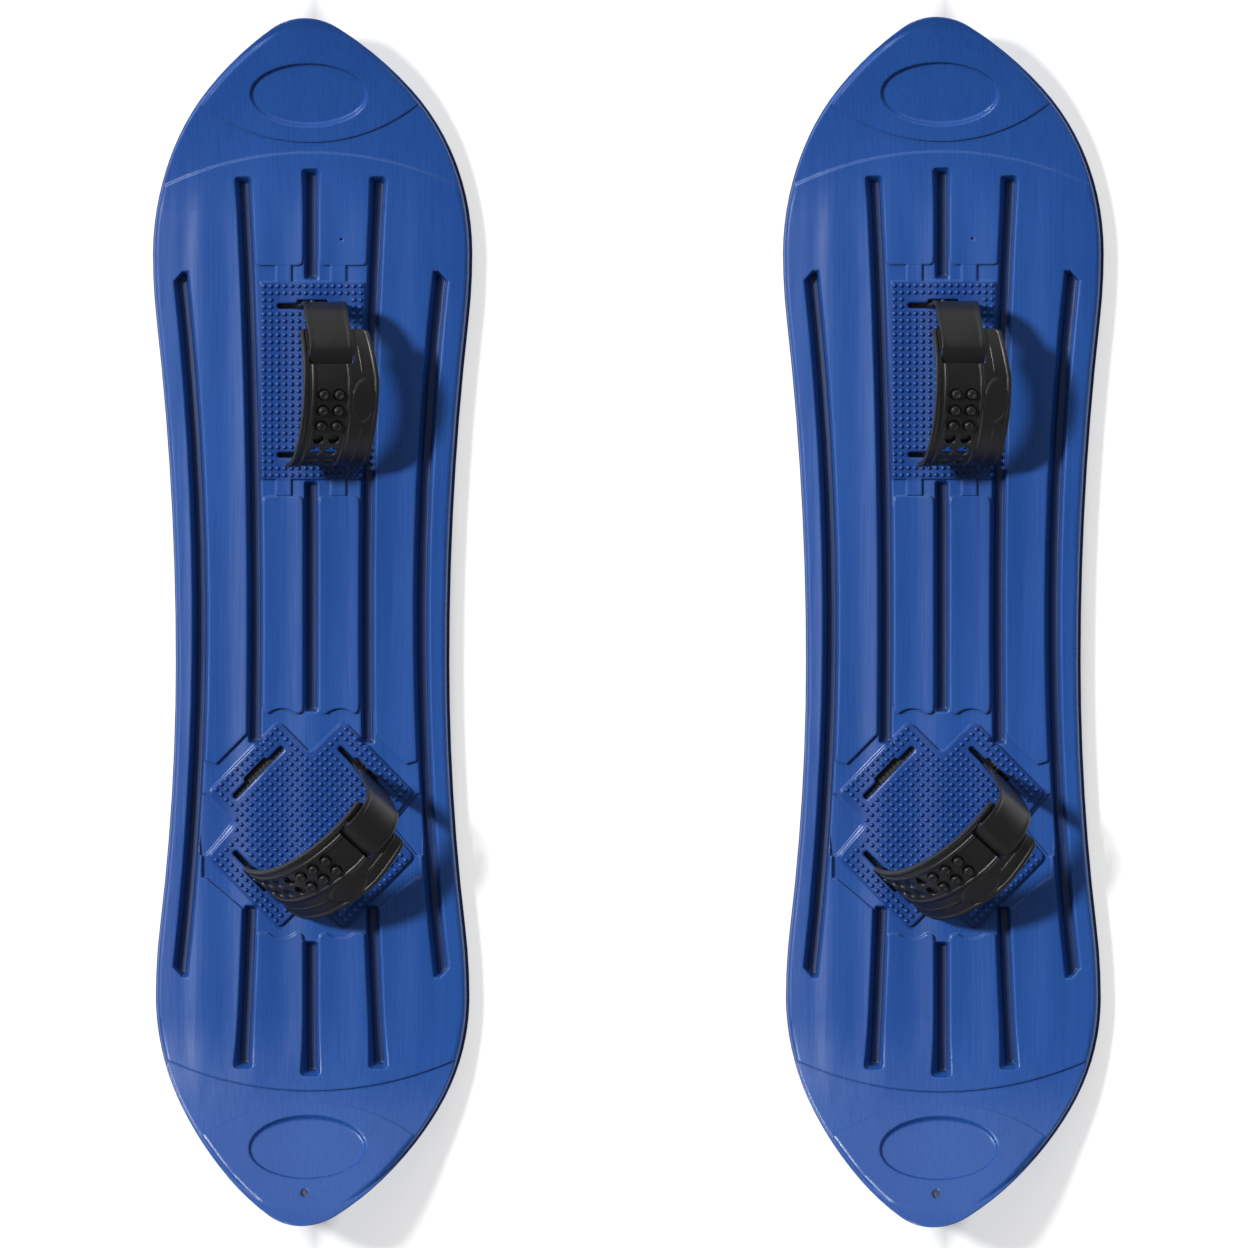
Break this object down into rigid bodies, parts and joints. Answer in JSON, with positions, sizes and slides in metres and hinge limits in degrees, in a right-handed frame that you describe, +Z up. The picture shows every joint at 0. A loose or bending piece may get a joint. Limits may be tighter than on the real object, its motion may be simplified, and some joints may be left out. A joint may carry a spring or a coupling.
{
  "type": "snowboard pair",
  "caption": "Identical moulded plastic children's snowboards with upturned tips, grooved decks, studded foot pads and leaning black strap hoops joined by pegs.",
  "frame": {"origin": "midway between the boards, at the middle of their length, on the plane that the running surfaces rest on", "axes": "+X across the boards, from the left board to the right, +Y along the boards towards the tails, +Z up out of the decks"},
  "size_m": [0.7476, 0.9403, 0.1048],
  "materials": {
    "board_plastic": "satin",
    "strap_rubber": "satin",
    "plug_plastic": "satin"
  },
  "bodies": {
    "left_board": {"left_board": "board_plastic"},
    "left_rear_wide_strap": {"left_rear_wide_strap": "strap_rubber"},
    "left_rear_narrow_strap": {"left_rear_narrow_strap": "strap_rubber"},
    "left_front_wide_strap": {"left_front_wide_strap": "strap_rubber"},
    "left_front_narrow_strap": {"left_front_narrow_strap": "strap_rubber"},
    "left_slot_plug_tail": {"left_slot_plug_tail": "plug_plastic"},
    "left_slot_plug_nose": {"left_slot_plug_nose": "plug_plastic"},
    "right_board": {"right_board": "board_plastic"},
    "right_rear_wide_strap": {"right_rear_wide_strap": "strap_rubber"},
    "right_rear_narrow_strap": {"right_rear_narrow_strap": "strap_rubber"},
    "right_front_wide_strap": {"right_front_wide_strap": "strap_rubber"},
    "right_front_narrow_strap": {"right_front_narrow_strap": "strap_rubber"},
    "right_slot_plug_tail": {"right_slot_plug_tail": "plug_plastic"},
    "right_slot_plug_nose": {"right_slot_plug_nose": "plug_plastic"}
  },
  "joints": [
    {"name": "right_board_lift", "type": "slide", "parent": "left_board", "child": "right_board", "axis": [0, 0, 1], "range_m": [0, 0.25]},
    {"name": "left_rear_hoop_lean", "type": "hinge", "parent": "left_board", "child": "left_rear_wide_strap", "pos_m": [-0.2468, 0.18815, 0.012], "axis": [0, 1, 0], "range_deg": [-54, 8], "stiffness_Nm_per_rad": 1.2, "springref_deg": -1.15},
    {"name": "left_rear_narrow_lean", "type": "hinge", "parent": "left_board", "child": "left_rear_narrow_strap", "pos_m": [-0.2468, 0.18815, 0.012], "axis": [0, 1, 0], "range_deg": [-54, 8]},
    {"name": "left_front_hoop_lean", "type": "hinge", "parent": "left_board", "child": "left_front_wide_strap", "pos_m": [-0.248, -0.15795, 0.012], "axis": [0.7133, 0.7009, 0], "range_deg": [-63, 1], "stiffness_Nm_per_rad": 1.2, "springref_deg": -1.15},
    {"name": "left_front_narrow_lean", "type": "hinge", "parent": "left_board", "child": "left_front_narrow_strap", "pos_m": [-0.248, -0.15795, 0.012], "axis": [0.7133, 0.7009, 0], "range_deg": [-63, 1]},
    {"name": "left_tail_plug_pull", "type": "slide", "parent": "left_board", "child": "left_slot_plug_tail", "axis": [0, 0, 1], "range_m": [0, 0.02]},
    {"name": "left_nose_plug_pull", "type": "slide", "parent": "left_board", "child": "left_slot_plug_nose", "axis": [0, 0, 1], "range_m": [0, 0.02]},
    {"name": "right_rear_hoop_lean", "type": "hinge", "parent": "right_board", "child": "right_rear_wide_strap", "pos_m": [0.2492, 0.18815, 0.012], "axis": [0, 1, 0], "range_deg": [-54, 8], "stiffness_Nm_per_rad": 1.2, "springref_deg": -1.15},
    {"name": "right_rear_narrow_lean", "type": "hinge", "parent": "right_board", "child": "right_rear_narrow_strap", "pos_m": [0.2492, 0.18815, 0.012], "axis": [0, 1, 0], "range_deg": [-54, 8]},
    {"name": "right_front_hoop_lean", "type": "hinge", "parent": "right_board", "child": "right_front_wide_strap", "pos_m": [0.248, -0.15795, 0.012], "axis": [0.7133, 0.7009, 0], "range_deg": [-63, 1], "stiffness_Nm_per_rad": 1.2, "springref_deg": -1.15},
    {"name": "right_front_narrow_lean", "type": "hinge", "parent": "right_board", "child": "right_front_narrow_strap", "pos_m": [0.248, -0.15795, 0.012], "axis": [0.7133, 0.7009, 0], "range_deg": [-63, 1]},
    {"name": "right_tail_plug_pull", "type": "slide", "parent": "right_board", "child": "right_slot_plug_tail", "axis": [0, 0, 1], "range_m": [0, 0.02]},
    {"name": "right_nose_plug_pull", "type": "slide", "parent": "right_board", "child": "right_slot_plug_nose", "axis": [0, 0, 1], "range_m": [0, 0.02]}
  ],
  "couplings": [
    {"joint": "left_rear_narrow_lean", "follows": "left_rear_hoop_lean", "ratio": 1},
    {"joint": "left_front_narrow_lean", "follows": "left_front_hoop_lean", "ratio": 1},
    {"joint": "right_rear_narrow_lean", "follows": "right_rear_hoop_lean", "ratio": 1},
    {"joint": "right_front_narrow_lean", "follows": "right_front_hoop_lean", "ratio": 1}
  ]
}
